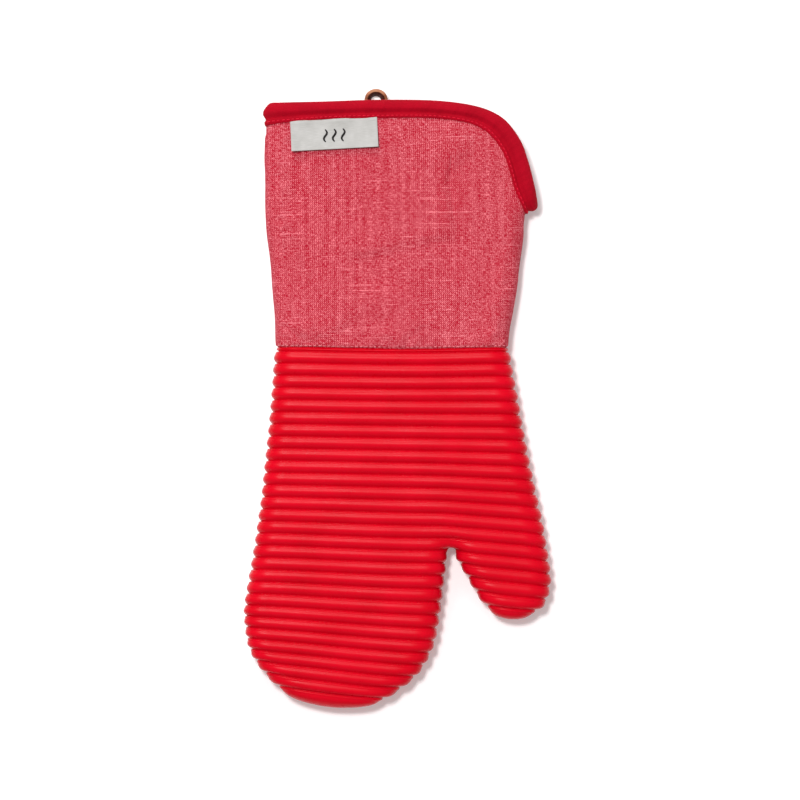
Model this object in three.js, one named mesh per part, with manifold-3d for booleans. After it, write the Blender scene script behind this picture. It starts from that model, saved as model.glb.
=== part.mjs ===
// A long oven mitt: a ribbed silicone hand sewn to a padded, woven cuff, lying on its back on a table.
// Millimetres. +Z is up, +Y points to the mouth of the cuff and +X to the thumb. The origin is the
// centre of the bottom of the whole mitt.
//
// Every layer of the mitt is an inset of one outer skin. The skin is a flat bag: an outline seen from
// above, with a front and a back that bulge away from it. The bag is meshed in rows that run across
// the mitt along its ribs, counted from the groove under the silicone's rim, and in columns.
import * as THREE from "three";
import { mergeVertices } from "three/addons/utils/BufferGeometryUtils.js";
import Module from "manifold-3d";

const wasm = await Module();
wasm.setup();

// Driving dimensions of the whole mitt
const HAND_HALF = 12; // half the thickness of the hand, over the rib crests
const CUFF_HALF = 10; // half the thickness of the cuff, over its woven panels
const CUFF_LIFT = 1.1; // the panels' height over the table, which the binding tape fills
const EDGE_ROUND = 13; // how far in from the outline the bulge reaches its full height
const CROTCH = [29.1, -82.1]; // where the thumb leaves the hand
const ZONE_GAP = 0.3; // clearance between neighbouring pieces
const FACET_TOLERANCE = { lining: 0.1, chambray: 0.05, tape: 0.05, silicone: 0.03, other: 0.01 };
const SMALLEST_ROW = 0.02; // two rows are never closer than this share of the pitch
const BLOCK = 600; // side of the blocks that cut the mitt, which are longer than it is

// Ribs
const RIB_TOP = 25.6; // height of the first groove along the mitt
const RIB_PITCH = 6.56;
const RIB_DEPTH = 1.4;
const RIB_FLANK = 0.22; // share of the pitch taken by each flank of a rib
const RIB_LEAN = 0.0024; // each rib slopes down this much more than the one above it
const LEAN_FROM_X = -75;
const THUMB_LEAN = 0.07; // extra slope of the ribs on the thumb
const THUMB_LEAN_FROM_X = 23;
const RIM_Y = 28.4; // upper edge of the silicone
const RIM = { inset: 0.9, from: -0.12, to: -0.08, groove: 0.08 }; // rows of the first groove's flanks
const LAST_RIB = 0.5; // a rib at the tip shorter than this share of the pitch joins the one above it

// Heights along the mitt between which it changes from hand to cuff
const CHANGE = {
  thickness: [15, 85],
  lift: [35, 85],
  silicone: [15.5, 20], // the wall thins towards the rim
  tuck: [RIM_Y - 0.4, 33], // the panels' lower ends go under the rim
  padding: [34, 46],
};

// Layers, as insets from the skin: where each begins and ends in the hand and in the cuff
const SILICONE_INNER = 3.2;
const SILICONE_RIM_INNER = 2.2;
const CHAMBRAY = { thickness: 0.7, tucked: 2.5, end: 20 };
const WADDING = { hand: [3.5, 5.3], cuff: [1.0, 3.0] };
const LINING = { hand: [5.6, 6.6], cuff: [3.3, 4.3] };
const TAPE = { thickness: 0.8, outer: -1.1, inner: 5.4, width: 10, wrap: 1 };
// The stitching's distance from the mouth's edge, its size, and the groove in the tape that it lies in
const STITCH = { line: 8.4, halfWidth: 0.25, insets: [-0.95, -0.65] };
const CHANNEL = { halfWidth: 0.6, insets: [TAPE.outer - 0.5, -0.55] };
const HEM_STITCH = { halfWidth: 0.3, insets: [0.8, 1.1] };
const SIDE_SEAM_Y = 60; // the side seams are level, and run at the mid-plane's height here
const MOUTH_END = 80; // the binding lies wholly above this height

// Joints: where the soft zones begin, how long they are and which way they run
const KNUCKLE = { point: [29.1, -82.9], heading: -92.5, length: 46 };
const THUMB_FOLD = { point: [29.6, -82.4], heading: -45, length: 25 };
const WRIST = { y: 33.5, length: 42 };

// Outlines, as points on smooth curves
const LEFT_SIDE = [
  [-72.6, 185], [-72.3, 159], [-72.1, 119], [-71.2, 93], [-69.3, 74], [-67.3, 54], [-66.7, 31],
  [-67.4, 21], [-69.3, -5], [-74.7, -57], [-78.6, -83], [-83, -109], [-83.7, -118],
  [-80.9, -135.5], [-73.5, -148.5], [-59.1, -161.6], [-44, -166.8], [-28.6, -168.2],
];
const FINGER_SIDE = [
  [-12, -166.2], [1.9, -158.3], [12.5, -148.5], [19.6, -135.5], [22.4, -122.4], [25.9, -96.3],
  [28.2, -86], CROTCH,
];
const THUMB_SIDE = [CROTCH, [32, -87], [38, -99.5], [46.5, -113.2], [53, -118.6], [62.9, -120.5]];
const RIGHT_SIDE = [
  [72.5, -118.2], [79.8, -112.6], [83.3, -102], [82.6, -89.7], [80.7, -76.7], [76.8, -57],
  [72.5, -37.4], [65.2, 1.8], [61.8, 21.4], [60.6, 31], [64.8, 60.6], [68.3, 86.7], [69.4, 98],
  [76, 103.6], [100, 118], [112, 185],
];
const MOUTH = [
  [-86, 157], [-72.4, 159.6], [-64, 160.8], [-42, 161.3], [-9.5, 161.9], [23, 161.3], [41, 158.9],
  [51, 155.6], [59, 150.5], [67.3, 139], [71.3, 127.6], [73.8, 114.5], [76.2, 103.6], [79, 92],
];

const smooth = (t) => {
  const s = THREE.MathUtils.clamp(t, 0, 1);
  return s * s * (3 - 2 * s);
};
const between = (from, to, a, b) => (y) => from + (to - from) * smooth((y - a) / (b - a));

// Half thickness and mid-plane height along the mitt
const halfAt = between(HAND_HALF, CUFF_HALF, ...CHANGE.thickness);
const liftAt = between(0, CUFF_LIFT, ...CHANGE.lift);
const middleAt = (y) => halfAt(y) + liftAt(y);

// Rows: height of a row at x, and the row through a point
function rowDrop(x, row) {
  const r = Math.max(row, 0);
  const thumb = THUMB_LEAN * smooth((r - 3) / 11) * Math.max(x - THUMB_LEAN_FROM_X, 0);
  return r * RIB_LEAN * (x - LEAN_FROM_X) + thumb;
}
const rowY = (x, row) => RIB_TOP - RIB_PITCH * row - rowDrop(x, row);
function rowOf(x, y) {
  let row = (RIB_TOP - y) / RIB_PITCH;
  for (let i = 0; i < 8; i++) row = (RIB_TOP - y - rowDrop(x, row)) / RIB_PITCH;
  return row;
}

// A smooth curve as points that know their row
function trace(points, steps = 6) {
  const curve = new THREE.CatmullRomCurve3(
    points.map(([x, y]) => new THREE.Vector3(x, y, 0)),
    false,
    "centripetal",
  );
  return curve.getPoints(steps * (points.length - 1)).map(({ x, y }) => ({ x, y, row: rowOf(x, y) }));
}

// An outline from mouth to crotch is split at its tip into two sides, each in order of its rows
function splitAtTip(outline) {
  const tip = outline.reduce((best, p, i) => (p.row > outline[best].row ? i : best), 0);
  return { near: outline.slice(0, tip + 1), far: outline.slice(tip).reverse(), tip: outline[tip] };
}
const fingerOutline = trace([...LEFT_SIDE, ...FINGER_SIDE]);
const thumbOutline = trace([...THUMB_SIDE, ...RIGHT_SIDE]);
const fingers = splitAtTip(fingerOutline);
const thumb = splitAtTip(thumbOutline);
const CROTCH_ROW = rowOf(...CROTCH);

function atRow(side, row) {
  const i = side.findIndex((p) => p.row >= row);
  if (i <= 0) return side[i === 0 ? 0 : side.length - 1];
  const t = (row - side[i - 1].row) / (side[i].row - side[i - 1].row);
  return {
    x: THREE.MathUtils.lerp(side[i - 1].x, side[i].x, t),
    y: THREE.MathUtils.lerp(side[i - 1].y, side[i].y, t),
  };
}
const seam = (row) => ({ x: CROTCH[0], y: row === CROTCH_ROW ? CROTCH[1] : rowY(CROTCH[0], row) });

// The two panels of the bag: the fingers with the hand beside them, and the thumb with the hand above it
const PANELS = [
  {
    columns: [0, 0.012, 0.05, 0.11, 0.19, 0.5, 0.81, 0.89, 0.95, 0.988, 1],
    tip: fingers.tip,
    ends: (row) => [atRow(fingers.near, row), row > CROTCH_ROW ? atRow(fingers.far, row) : seam(row)],
  },
  {
    columns: [0, 0.05, 0.2, 0.5, 0.8, 0.95, 1],
    tip: thumb.tip,
    ends: (row) => [row > CROTCH_ROW ? atRow(thumb.near, row) : seam(row), atRow(thumb.far, row)],
  },
];

// Nearest place on the outline: its distance, and the direction out of the mitt towards it
function nearestEdge(x, y) {
  if (Math.hypot(x - CROTCH[0], y - CROTCH[1]) < 1e-6) return { distance: 0, out: [0, -1] };
  let best = { distance: Infinity };
  for (const outline of [fingerOutline, thumbOutline]) {
    for (let i = 0; i + 1 < outline.length; i++) {
      const a = outline[i];
      const dx = outline[i + 1].x - a.x;
      const dy = outline[i + 1].y - a.y;
      const along = THREE.MathUtils.clamp(((x - a.x) * dx + (y - a.y) * dy) / (dx * dx + dy * dy), 0, 1);
      const ex = a.x + along * dx - x;
      const ey = a.y + along * dy - y;
      const distance = Math.hypot(ex, ey);
      if (distance >= best.distance) continue;
      const length = Math.hypot(dx, dy);
      const out = distance > 1e-4 ? [ex / distance, ey / distance] : [dy / length, -dx / length];
      best = { distance, out };
    }
  }
  return best;
}

// A point of the front (side 1) or back (side -1) of the skin, moved inwards by an inset
function skinPoint(x, y, side, inset) {
  const { distance, out } = nearestEdge(x, y);
  const c = 1 - Math.min(distance / EDGE_ROUND, 1);
  const s = Math.sqrt(1 - c * c);
  const half = halfAt(y);
  const normal = new THREE.Vector3(
    (out[0] * c) / EDGE_ROUND,
    (out[1] * c) / EDGE_ROUND,
    (side * s) / half,
  ).normalize();
  return new THREE.Vector3(x, y, middleAt(y) + side * half * s).addScaledVector(normal, -inset);
}

// Solids
function solid(geometry) {
  const bare = geometry.index ? geometry.toNonIndexed() : geometry;
  const position = new THREE.BufferGeometry().setAttribute("position", bare.getAttribute("position"));
  const merged = mergeVertices(position, 1e-4);
  const triVerts = []; // without the triangles that merging has left with no area
  const index = merged.index.array;
  for (let i = 0; i < index.length; i += 3) {
    const [a, b, c] = index.subarray(i, i + 3);
    if (a !== b && b !== c && c !== a) triVerts.push(a, b, c);
  }
  const vertProperties = merged.attributes.position.array;
  return new wasm.Manifold(
    new wasm.Mesh({ numProp: 3, vertProperties, triVerts: new Uint32Array(triVerts) }),
  );
}

// The bag as a solid, inset by a function of row and y
function bag(rows, insetAt) {
  const corners = [];
  const quad = (a, b, c, d) => corners.push(a, b, c, a, c, d);
  for (const panel of PANELS) {
    const used = [...rows.filter((row) => row < panel.tip.row - SMALLEST_ROW), panel.tip.row];
    const grid = (side) =>
      used.map((row) => {
        const [left, right] = row === panel.tip.row ? [panel.tip, panel.tip] : panel.ends(row);
        return panel.columns.map((share) => {
          const x = THREE.MathUtils.lerp(left.x, right.x, share);
          const inner = share > 0 && share < 1 && left !== right;
          const y = inner ? rowY(x, row) : share ? right.y : left.y;
          return skinPoint(x, y, side, insetAt(row, y));
        });
      });
    const front = grid(1);
    const back = grid(-1);
    for (let j = 0; j + 1 < panel.columns.length; j++) {
      quad(front[0][j], front[0][j + 1], back[0][j + 1], back[0][j]);
      for (let i = 0; i + 1 < used.length; i++) {
        quad(front[i][j], front[i + 1][j], front[i + 1][j + 1], front[i][j + 1]);
        quad(back[i][j + 1], back[i + 1][j + 1], back[i + 1][j], back[i][j]);
      }
    }
  }
  return solid(new THREE.BufferGeometry().setFromPoints(corners));
}

// Everything beyond a line in plan view, which passes through a point and faces a heading in degrees
function beyond([x, y], heading, gap = 0) {
  const block = new THREE.BoxGeometry(BLOCK, BLOCK, BLOCK).translate(BLOCK / 2 + gap, 0, 0);
  return solid(block.rotateZ(THREE.MathUtils.degToRad(heading)).translate(x, y, 0));
}
const above = (y) => beyond([0, y], 90);
const below = (y) => beyond([0, y], -90);
const overHeight = (z, side) =>
  solid(new THREE.BoxGeometry(BLOCK, BLOCK, BLOCK).translate(0, 0, z + (side * BLOCK) / 2));
const split = (body, block) => body.intersect(block);

// The part of the plan inside the mouth's edge, kept some distance back from it
function insideMouth(back) {
  const edge = trace(MOUTH, 3);
  const offset = edge.map((p, i) => {
    const a = edge[Math.max(i - 1, 0)];
    const b = edge[Math.min(i + 1, edge.length - 1)];
    const length = Math.hypot(b.x - a.x, b.y - a.y);
    return new THREE.Vector2(p.x + (back * (b.y - a.y)) / length, p.y - (back * (b.x - a.x)) / length);
  });
  const far = BLOCK / 2;
  const foot = [new THREE.Vector2(far, offset.at(-1).y), new THREE.Vector2(far, -far)];
  const shape = new THREE.Shape([...offset, ...foot, new THREE.Vector2(offset[0].x, -far)]);
  const plate = new THREE.ExtrudeGeometry(shape, { depth: BLOCK, bevelEnabled: false });
  return solid(plate.translate(0, 0, -far));
}
const mouthBand = (outer, inner) => split(insideMouth(outer).subtract(insideMouth(inner)), above(MOUTH_END));

// Rows of the plain layers, and of the ribbed silicone
const PLAIN_ROWS = [
  -24, -18.5, -15, -13.5, -11.9, -11, -7.5, -4.5, -2.5, -1.6, -1.1, -0.75, -0.4, 0.85, 1.5, 4.7, 8.5, 12.3,
  14.3, CROTCH_ROW, 16.8, 17.9, 18.8, 19.5, 20.1, 20.5, 22, 23.6, 25, 26.2, 27.2, 28, 28.5, 28.8,
];
function ribbedRows() {
  const rows = [-3, -0.5, -0.42, RIM.from, RIM.to]; // the rim ends between the first two
  for (let rib = 0; rib <= Math.floor(fingers.tip.row); rib++) {
    rows.push(rib === 0 ? RIM.groove : rib, rib + RIB_FLANK, rib + 1 - RIB_FLANK);
  }
  return [...rows, CROTCH_ROW, fingers.tip.row - RIB_FLANK].sort((a, b) => a - b);
}
function ribInset(row) {
  if (row <= RIM.from) return RIM.inset;
  if (row <= RIM.groove) return RIB_DEPTH;
  const phase = row - Math.floor(row);
  const flank = Math.min(phase, 1 - phase) / RIB_FLANK;
  const lastRib = row > Math.floor(fingers.tip.row) + LAST_RIB;
  return lastRib ? 0 : RIB_DEPTH * Math.max(0, 1 - flank);
}
const plainBag = (insetAtY) => bag(PLAIN_ROWS, (row, y) => insetAtY(y));
const layerEdges = ({ hand, cuff }) => hand.map((inset, i) => between(inset, cuff[i], ...CHANGE.padding));

// Silicone: one moulding, cut where its hand bends
function siliconeShell() {
  const outer = bag(ribbedRows(), ribInset);
  const inner = plainBag(between(SILICONE_INNER, SILICONE_RIM_INNER, ...CHANGE.silicone));
  return split(outer.subtract(inner), below(RIM_Y));
}
const end = ({ point, heading, length }) => {
  const turn = THREE.MathUtils.degToRad(heading);
  return [point[0] + length * Math.cos(turn), point[1] + length * Math.sin(turn)];
};
function siliconePieces() {
  const shell = siliconeShell();
  const fingerHalf = beyond(CROTCH, 180);
  const thumbHalf = beyond(CROTCH, 0);
  const fingerSide = split(shell, fingerHalf);
  const thumbSide = split(shell, thumbHalf);
  const past = (body, joint, gap) => split(body, beyond(joint.point, joint.heading, gap));
  const beforeEnd = (body, joint) => split(body, beyond(end(joint), joint.heading + 180, ZONE_GAP / 2));
  const pastEnd = (body, joint) => split(body, beyond(end(joint), joint.heading, ZONE_GAP / 2));
  const palm = shell
    .subtract(split(fingerHalf, beyond(KNUCKLE.point, KNUCKLE.heading)))
    .subtract(split(thumbHalf, beyond(THUMB_FOLD.point, THUMB_FOLD.heading)));
  return {
    silicone_palm: palm,
    silicone_knuckle_zone: beforeEnd(past(fingerSide, KNUCKLE, ZONE_GAP), KNUCKLE),
    silicone_fingers: pastEnd(fingerSide, KNUCKLE),
    silicone_thumb_zone: beforeEnd(past(thumbSide, THUMB_FOLD, ZONE_GAP), THUMB_FOLD),
    silicone_thumb: pastEnd(thumbSide, THUMB_FOLD),
  };
}

// Front and back halves of a layer that stops short of the mouth's edge
function halves(shell) {
  const trimmed = split(shell, insideMouth(TAPE.wrap + ZONE_GAP));
  const seamHeight = (side) => middleAt(SIDE_SEAM_Y) + (side * ZONE_GAP) / 2;
  return [split(trimmed, overHeight(seamHeight(1), 1)), split(trimmed, overHeight(seamHeight(-1), -1))];
}
function paddingPieces() {
  const layer = (edges) => {
    const [outer, inner] = layerEdges(edges);
    return halves(plainBag(outer).subtract(plainBag(inner)));
  };
  const [wadding_front, wadding_back] = layer(WADDING);
  const [lining_front, lining_back] = layer(LINING);
  return { wadding_front, wadding_back, lining_front, lining_back };
}

// Woven outer panels: the lower end is tucked under the silicone's rim and bends with the wrist
function cuffPieces() {
  const outer = between(CHAMBRAY.tucked, 0, ...CHANGE.tuck);
  const inner = (y) => outer(y) + CHAMBRAY.thickness;
  const sleeve = split(plainBag(outer).subtract(plainBag(inner)), above(CHAMBRAY.end));
  const bendEnd = WRIST.y + WRIST.length;
  const [front, back] = halves(sleeve);
  return {
    cuff_front_panel: split(front, above(bendEnd + ZONE_GAP / 2)),
    cuff_back_panel: split(back, above(bendEnd + ZONE_GAP / 2)),
    cuff_front_wrist_zone: split(front, below(bendEnd - ZONE_GAP / 2)),
    cuff_back_wrist_zone: split(back, below(bendEnd - ZONE_GAP / 2)),
  };
}

// Binding tape folded over the mouth's edge, and the stitching sunk into it
const shellBetween = (outer, inner) => plainBag(() => outer).subtract(plainBag(() => inner));
function bindingPieces() {
  const whole = split(shellBetween(TAPE.outer, TAPE.inner), mouthBand(0, TAPE.width));
  const inside = shellBetween(TAPE.outer + TAPE.thickness, TAPE.inner - TAPE.thickness);
  const seamBand = ({ halfWidth, insets }) =>
    split(shellBetween(...insets), mouthBand(STITCH.line - halfWidth, STITCH.line + halfWidth));
  return {
    binding_tape: whole.subtract(split(inside, insideMouth(TAPE.wrap))).subtract(seamBand(CHANNEL)),
    binding_stitching: seamBand(STITCH),
  };
}
function hemStitching() {
  const ring = shellBetween(...HEM_STITCH.insets);
  return split(split(ring, above(RIB_TOP - HEM_STITCH.halfWidth)), below(RIB_TOP + HEM_STITCH.halfWidth));
}

// Hanging loop: a leather strip bent into an arch on its edge, with two tails sewn inside the mouth
const LOOP = { x: -11.7, y: 162, radius: 6, thickness: 1.4, width: 8, height: 7.5, segments: 9 };
const LOOP_FOOT = { halfWidth: 1, flaredAt: 3.4, top: 9, rise: 0.4 }; // narrow where it goes into the binding
function hangLoop() {
  const { halfWidth, flaredAt, top, rise } = LOOP_FOOT;
  const arc = (radius) =>
    Array.from({ length: LOOP.segments + 1 }, (_, i) => {
      const turn = (Math.PI * i) / LOOP.segments;
      const y = LOOP.y + rise + (radius - rise) * Math.sin(turn);
      return new THREE.Vector2(LOOP.x + radius * Math.cos(turn), y);
    });
  const shape = new THREE.Shape([...arc(LOOP.radius), ...arc(LOOP.radius - LOOP.thickness).reverse()]);
  const strip = new THREE.ExtrudeGeometry(shape, { depth: LOOP.width, bevelEnabled: false });
  const twist = new THREE.Shape(
    [[0, halfWidth], [flaredAt, LOOP.width / 2], [top, LOOP.width / 2]]
      .flatMap(([y, z]) => [[y, z], [y, -z]])
      .sort((a, b) => Math.atan2(a[1], a[0] - top / 2) - Math.atan2(b[1], b[0] - top / 2))
      .map(([y, z]) => new THREE.Vector2(y, z)),
  );
  const depth = 4 * LOOP.radius;
  const taper = new THREE.ExtrudeGeometry(twist, { depth, bevelEnabled: false });
  taper.rotateX(Math.PI / 2).rotateZ(Math.PI / 2).translate(LOOP.x - depth / 2, LOOP.y, LOOP.height);
  return split(solid(strip.translate(0, 0, LOOP.height - LOOP.width / 2)), solid(taper));
}
function loopTail(side) {
  const centre = LOOP.x + side * (LOOP.radius - LOOP.thickness / 2);
  return solid(
    new THREE.BoxGeometry(LOOP.width, TAPE.width - 2 * TAPE.thickness, LOOP.thickness)
      .translate(centre, LOOP.y - TAPE.width / 2, LOOP.height),
  );
}

// Materials
const material = (color, roughness, metalness = 0) =>
  new THREE.MeshStandardMaterial({ color, roughness, metalness });
const MATERIALS = {
  silicone: material(0xe0122c, 0.45),
  chambray: material(0xda4b5d, 0.9),
  tape: material(0xae0a20, 0.85),
  thread: material(0xb80f26, 0.7),
  wadding: material(0xe8e4dc, 1),
  lining: material(0xd8d2c8, 0.95),
  leather: material(0x7a4630, 0.6),
  label: material(0xc7c4bf, 0.5),
};

function mesh(name, body, finish) {
  const tolerance = FACET_TOLERANCE[finish] ?? FACET_TOLERANCE.other;
  const { numProp, vertProperties, triVerts } = body.simplify(tolerance).getMesh();
  const geometry = new THREE.BufferGeometry()
    .setAttribute("position", new THREE.BufferAttribute(new Float32Array(vertProperties), numProp))
    .setIndex(new THREE.BufferAttribute(new Uint32Array(triVerts), 1));
  geometry.computeVertexNormals();
  const piece = new THREE.Mesh(geometry, MATERIALS[finish]);
  piece.name = name;
  return piece;
}

// Woven label: a flap that hangs from the binding on the front of the cuff
const LABEL = { width: 47, drop: 15.4, thickness: 0.6, x: -34.7, y: 150.1, tilt: 2.3, lift: 0.6 };
function wovenLabel() {
  const hinge = new THREE.Group();
  hinge.position.set(LABEL.x, LABEL.y, middleAt(LABEL.y) + halfAt(LABEL.y) + LABEL.lift);
  hinge.rotation.z = THREE.MathUtils.degToRad(LABEL.tilt);
  const flap = new THREE.Mesh(
    new THREE.BoxGeometry(LABEL.width, LABEL.drop, LABEL.thickness),
    MATERIALS.label,
  );
  flap.name = "woven_label";
  flap.position.y = -LABEL.drop / 2;
  hinge.add(flap);
  return hinge;
}

const mitt = new THREE.Group();
const loopPieces = {
  hang_loop: hangLoop(),
  hang_loop_tail_left: loopTail(-1),
  hang_loop_tail_right: loopTail(1),
};
const sets = [
  ["silicone", siliconePieces()],
  ["chambray", cuffPieces()],
  ["tape", bindingPieces()],
  ["lining", paddingPieces()],
  ["thread", { hem_stitching: hemStitching() }],
  ["leather", loopPieces],
];
for (const [finish, bodies] of sets) {
  for (const [name, body] of Object.entries(bodies)) mitt.add(mesh(name, body, finish));
}
mitt.add(wovenLabel());

export default mitt;
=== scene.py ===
"""An oven mitt with a ribbed silicone hand and a padded chambray cuff, lying on its back.

Shapes are worked out in millimetres in the frame of the CAD model and scaled to metres in make_mesh().
Every layer is an inset of one skin: a flat bag with an outline and a front and back that bulge from it.
Its surface is meshed in rows that follow the ribs, counted from the groove below the silicone's rim,
and in columns across. Grid A is the fingers and the hand beside them, and grid B is the thumb side.
"""

import math

import bpy
import numpy as np
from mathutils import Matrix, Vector

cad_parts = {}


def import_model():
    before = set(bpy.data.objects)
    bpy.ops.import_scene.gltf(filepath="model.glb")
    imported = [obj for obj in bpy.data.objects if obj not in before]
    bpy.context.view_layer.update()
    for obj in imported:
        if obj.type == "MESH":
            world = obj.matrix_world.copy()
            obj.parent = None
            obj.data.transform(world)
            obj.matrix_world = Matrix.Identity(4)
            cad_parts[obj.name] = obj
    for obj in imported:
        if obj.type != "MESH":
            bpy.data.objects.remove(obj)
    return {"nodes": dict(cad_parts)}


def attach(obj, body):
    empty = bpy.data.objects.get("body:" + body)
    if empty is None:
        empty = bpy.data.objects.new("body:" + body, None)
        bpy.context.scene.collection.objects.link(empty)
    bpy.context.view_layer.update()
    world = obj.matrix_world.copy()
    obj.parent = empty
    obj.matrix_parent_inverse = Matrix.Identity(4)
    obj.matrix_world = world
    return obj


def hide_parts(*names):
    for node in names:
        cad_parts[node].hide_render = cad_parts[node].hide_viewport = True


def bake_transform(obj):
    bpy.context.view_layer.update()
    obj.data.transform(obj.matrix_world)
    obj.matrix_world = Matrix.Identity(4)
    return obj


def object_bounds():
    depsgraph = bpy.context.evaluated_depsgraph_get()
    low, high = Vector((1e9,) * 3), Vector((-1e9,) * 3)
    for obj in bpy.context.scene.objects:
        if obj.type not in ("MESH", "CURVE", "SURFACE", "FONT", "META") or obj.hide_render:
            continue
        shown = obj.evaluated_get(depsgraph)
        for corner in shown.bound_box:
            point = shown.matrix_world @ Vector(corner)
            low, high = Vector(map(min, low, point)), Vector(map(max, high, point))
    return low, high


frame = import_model()
CAD_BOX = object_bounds()
MM = 0.001

# The skin, as in the CAD model
HAND_HALF = 12.0
CUFF_HALF = 10.0
CUFF_LIFT = 1.1
EDGE_ROUND = 13.0
EDGE_POWER = 2.7  # 2 would be an ellipse, and more is fuller
THINNER = (15, 85)  # the hand's thickness changes to the cuff's between these heights
LIFTED = (35, 85)  # the cuff rises off the floor between these heights
CROTCH = (29.0, -83.0)
RIM_Y = 28.4

# Ribs
RIB_TOP = 25.6
RIB_PITCH = 6.56
RIB_DEPTH = 1.9
LEAN_FROM_X = -75.0
HAND_LEAN = 0.019  # slope of the ribs across the palm
TIP_LEAN = 0.085  # extra slope at the finger tip
THUMB_LEAN = 0.1  # extra slope of the ribs on the thumb
THUMB_LEAN_FROM_X = 25.0
LEAN_KINK = 3.0  # how far the change of slope beside the thumb is rounded
SAG_MIDDLE = 5.0  # the ribs hang lower here than at the sides
SAG_HALF_WIDTH = 80.0
SAG = {"everywhere": 0.3, "rim": 1.1, "palm": 1.4, "tip": -2.4}
RIM_SAG_FADE = 4  # rows over which the rim's own sag fades
# Where slopes and sags set in, as (first row, number of rows)
HAND_LEAN_ROWS = (0, 9)
TIP_LEAN_ROWS = (16, 14)
THUMB_LEAN_ROWS = (6, 11)
PALM_SAG_ROWS = (9, 8)
TIP_SAG_ROWS = (20, 7)
RIM_ROW = -0.42

# Layers, as insets from the skin in the hand and in the cuff
WADDING = {"outer": (3.5, 1.0), "inner": (5.3, 3.0)}
LINING = {"outer": (5.6, 3.3), "inner": (6.6, 4.3)}
LAYERS_CHANGE = (34, 46)  # the hand's insets change to the cuff's between these heights
TAPE_OUTER = -1.1
TAPE_INNER = 5.3

# The joints' soft zones, as (point, heading in degrees, length)
KNUCKLE = ((29.1, -82.9), -92.5, 46.0)
THUMB_FOLD = ((29.6, -82.4), -45.0, 25.0)
WRIST = ((0.0, 33.5), 90.0, 42.0)

LEFT_SIDE = [
    (-72.6, 185), (-72.3, 159), (-72.1, 119), (-71.2, 93), (-69.3, 74), (-67.3, 54), (-66.7, 31),
    (-67.4, 21), (-69.3, -5), (-74.7, -57), (-78.6, -83), (-83, -109), (-83.7, -118),
    (-80.9, -135.5), (-73.5, -148.5), (-59.1, -161.6), (-44, -166.8), (-28.6, -168.2),
]
FINGER_SIDE = [
    (-12, -166.2), (1.9, -158.3), (12.5, -148.5), (19.6, -135.5), (22.6, -122.4), (25.7, -100),
    (26.8, -90), (27.1, -84.9), (27.8, -83.4), CROTCH,
]
THUMB_SIDE = [
    CROTCH, (30.3, -83.4), (30.9, -84.9), (32.0, -88.3), (35.4, -94.4), (42.5, -106.6), (47.6, -113.2),
    (53.5, -118.4), (62.9, -120.5),
]
RIGHT_SIDE = [
    (72.5, -118.2), (79.8, -112.6), (83.3, -102), (82.6, -89.7), (80.7, -76.7), (76.8, -57),
    (72.5, -37.4), (65.2, 1.8), (61.8, 21.4), (60.6, 31), (64.8, 60.6), (68.3, 86.7), (69.4, 98),
    (76, 103.6), (100, 118), (112, 185),
]
# The binding's outer edge, which is the mouth's, and its inner edge
TAPE_EDGE = [
    (-71.6, 157.9), (-70.3, 159.4), (-64, 159.7), (-42, 160.2), (-9.5, 161.2), (23, 160.6), (41, 158.1),
    (50.8, 154.9), (58.5, 149.9), (66.7, 138.7), (70.8, 127.4), (74.1, 114.5), (76.6, 104.2),
]
TAPE_HEM = [
    (-71.4, 147.3), (-69.6, 147.6), (-63.5, 148.4), (-41.5, 150.3), (-9.5, 151.2), (22, 150.9), (39, 148.2),
    (45.4, 145.4), (50.4, 141.6), (56.6, 132.9), (60.0, 124.0), (63.0, 113.2), (68.9, 100.0),
]
MOUTH_CUT = 2.5  # inner layers end this far inside the binding's outer edge

POINTS_AT_ONCE = 20000  # for nearest_edge, to spare memory


# ---------------------------------------------------------------- curves and the skin

def smooth(t):
    """0 below 0, 1 above 1, and a smooth change between."""
    t = np.clip(t, 0.0, 1.0)
    return t * t * (3 - 2 * t)


def rise(value, start, length):
    """0 up to start, 1 from start + length on, and a smooth change between."""
    return smooth((value - start) / length)


def ramp(y, low, high, start, stop):
    """start below low, stop above high, and a smooth change between."""
    return start + (stop - start) * smooth((np.asarray(y, float) - low) / (high - low))


def spline(points, steps):
    """Points on a centripetal Catmull-Rom curve, steps to each span."""
    p = np.array(points, float)
    p = np.vstack([2 * p[0] - p[1], p, 2 * p[-1] - p[-2]])
    t = np.linspace(0, 1, steps, endpoint=False)[:, None]
    spans = []
    for a, b, c, d in zip(p[:-3], p[1:-2], p[2:-1], p[3:]):
        ab, bc, cd = (math.sqrt(np.linalg.norm(v - u)) for u, v in ((a, b), (b, c), (c, d)))
        start = bc * ((b - a) / ab - (c - a) / (ab + bc) + (c - b) / bc)
        stop = bc * ((c - b) / bc - (d - b) / (bc + cd) + (d - c) / cd)
        cubic = 2 * b - 2 * c + start + stop
        square = -3 * b + 3 * c - 2 * start - stop
        spans.append(cubic * t**3 + square * t**2 + start * t + b)
    return np.vstack([*spans, p[-2]])


def even(curve, count):
    """The curve again, as count points at even distances."""
    along = np.concatenate([[0], np.cumsum(np.linalg.norm(np.diff(curve, axis=0), axis=1))])
    at = np.linspace(0, along[-1], count)
    return np.stack([np.interp(at, along, curve[:, k]) for k in range(curve.shape[1])], axis=1)


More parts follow.
